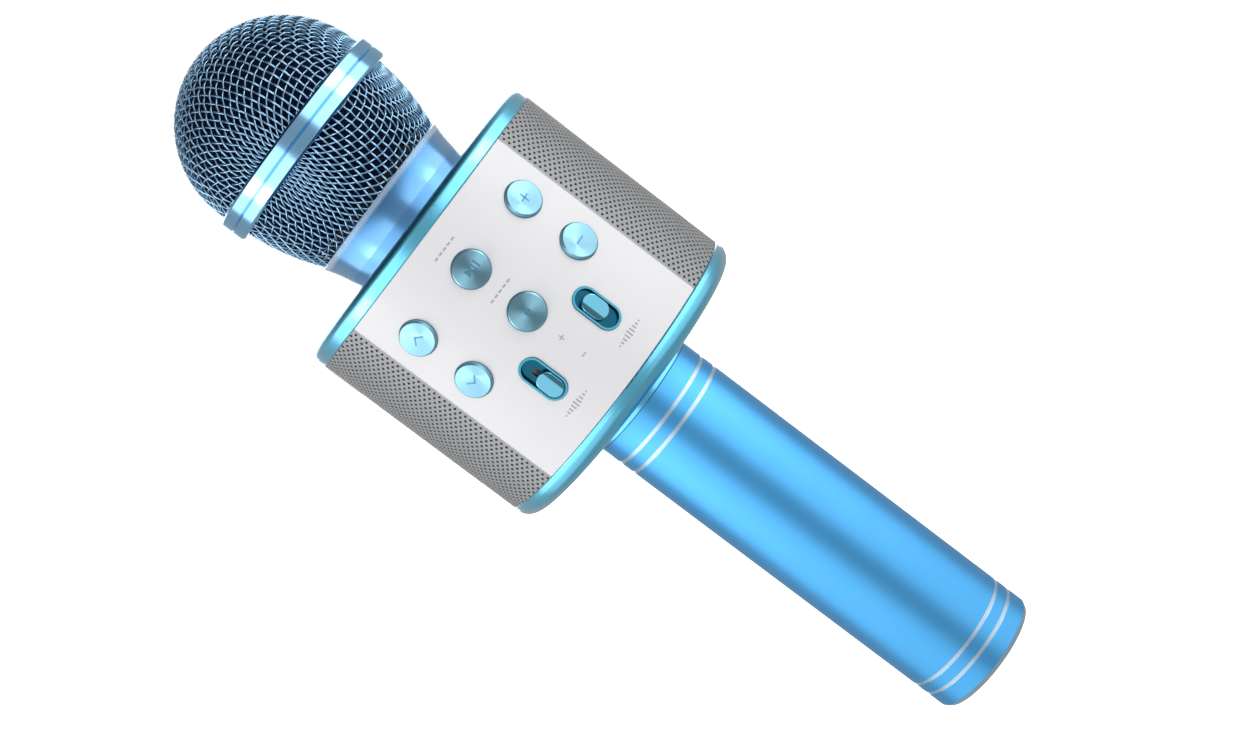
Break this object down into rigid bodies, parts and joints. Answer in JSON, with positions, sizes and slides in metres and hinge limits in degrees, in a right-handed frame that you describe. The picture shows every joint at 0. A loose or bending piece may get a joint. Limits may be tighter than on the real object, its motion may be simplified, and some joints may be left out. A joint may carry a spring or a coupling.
{
  "type": "karaoke microphone",
  "caption": "Hand-held karaoke microphone with a woven-wire head, a loudspeaker drum carrying push buttons and slide controls, and a metal handle that holds the battery.",
  "frame": {"origin": "centre of the handle's flat end face", "axes": "+Z along the handle towards the woven head, -Y out of the control panel, +X to the right of someone looking at the panel"},
  "size_m": [0.083, 0.0837, 0.2466],
  "materials": {
    "anodised_handle": "satin anodised",
    "gloss_aqua": "high gloss",
    "collar_blue": "high gloss",
    "white_shell": "fine satin",
    "button_metal": "spun satin",
    "perforated_steel": "satin silver",
    "woven_wire": "satin lacquer",
    "band_metal": "bright tinted",
    "black_foam": "open-cell foam",
    "black_cloth": "woven",
    "cradle_rubber": "matt",
    "capsule_metal": "satin",
    "chassis_abs": "moulded",
    "circuit_board": "solder mask",
    "switch_plastic": "moulded",
    "zinc_steel": "zinc plated",
    "socket_metal": "plated",
    "cone_paper": "pressed",
    "magnet_iron": "plated",
    "cell_wrap": "shrink wrap",
    "capacitor_sleeve": "sleeved",
    "ring_brass": "turned",
    "lead_pvc": "extruded"
  },
  "bodies": {
    "body": {"handle_tube": "anodised_handle", "neck_ring": "gloss_aqua", "bottom_rim": "gloss_aqua", "top_rim": "gloss_aqua", "end_cap": "gloss_aqua", "slider_bezel_left": "gloss_aqua", "slider_bezel_right": "gloss_aqua", "collar": "collar_blue", "front_panel": "white_shell", "rear_panel": "white_shell", "speaker_grille_left": "perforated_steel", "speaker_grille_right": "perforated_steel", "grille_dome": "woven_wire", "grille_basket": "woven_wire", "grille_band": "band_metal", "windscreen_foam": "black_foam", "speaker_cloth_left": "black_cloth", "speaker_cloth_right": "black_cloth", "capsule_cradle": "cradle_rubber", "microphone_capsule": "capsule_metal", "chassis": "chassis_abs", "battery_tray": "chassis_abs", "switch_board_left": "circuit_board", "switch_board_centre": "circuit_board", "switch_board_right": "circuit_board", "main_board": "circuit_board", "key_switches": "switch_plastic", "audio_jack": "switch_plastic", "audio_chip": "switch_plastic", "radio_module": "switch_plastic", "bottom_screws": "zinc_steel", "top_screws": "zinc_steel", "switch_board_screws": "zinc_steel", "main_board_screws": "zinc_steel", "slide_pot_left": "zinc_steel", "slide_pot_right": "zinc_steel", "speaker_frame_left": "zinc_steel", "speaker_frame_right": "zinc_steel", "charging_socket": "socket_metal", "card_socket": "socket_metal", "battery_contacts": "socket_metal", "speaker_cone_left": "cone_paper", "speaker_cone_right": "cone_paper", "speaker_magnet_left": "magnet_iron", "speaker_magnet_right": "magnet_iron", "battery": "cell_wrap", "capacitors": "capacitor_sleeve", "head_ring": "ring_brass", "battery_lead": "lead_pvc", "capsule_lead": "lead_pvc", "speaker_lead_left": "lead_pvc", "speaker_lead_right": "lead_pvc"},
    "button_up": {"button_up": "button_metal"},
    "button_play": {"button_play": "button_metal"},
    "button_plus": {"button_plus": "button_metal"},
    "button_down": {"button_down": "button_metal"},
    "button_record": {"button_record": "button_metal"},
    "button_minus": {"button_minus": "button_metal"},
    "slider_left": {"slider_knob_left": "gloss_aqua"},
    "slider_right": {"slider_knob_right": "gloss_aqua"}
  },
  "joints": [
    {"name": "up_press", "type": "slide", "parent": "body", "child": "button_up", "axis": [0.4894, 0.8721, 0], "range_m": [0, 0.0005], "stiffness_N_per_m": 500, "springref_m": -0.001},
    {"name": "play_press", "type": "slide", "parent": "body", "child": "button_play", "axis": [0, 1, 0], "range_m": [0, 0.0005], "stiffness_N_per_m": 500, "springref_m": -0.001},
    {"name": "plus_press", "type": "slide", "parent": "body", "child": "button_plus", "axis": [-0.4894, 0.8721, 0], "range_m": [0, 0.0005], "stiffness_N_per_m": 500, "springref_m": -0.001},
    {"name": "down_press", "type": "slide", "parent": "body", "child": "button_down", "axis": [0.4894, 0.8721, 0], "range_m": [0, 0.0005], "stiffness_N_per_m": 500, "springref_m": -0.001},
    {"name": "record_press", "type": "slide", "parent": "body", "child": "button_record", "axis": [0, 1, 0], "range_m": [0, 0.0005], "stiffness_N_per_m": 500, "springref_m": -0.001},
    {"name": "minus_press", "type": "slide", "parent": "body", "child": "button_minus", "axis": [-0.4894, 0.8721, 0], "range_m": [0, 0.0005], "stiffness_N_per_m": 500, "springref_m": -0.001},
    {"name": "slider_left_travel", "type": "slide", "parent": "body", "child": "slider_left", "axis": [0, 0, 1], "range_m": [0, 0.0042]},
    {"name": "slider_right_travel", "type": "slide", "parent": "body", "child": "slider_right", "axis": [0, 0, 1], "range_m": [-0.0026, 0.0016]}
  ]
}
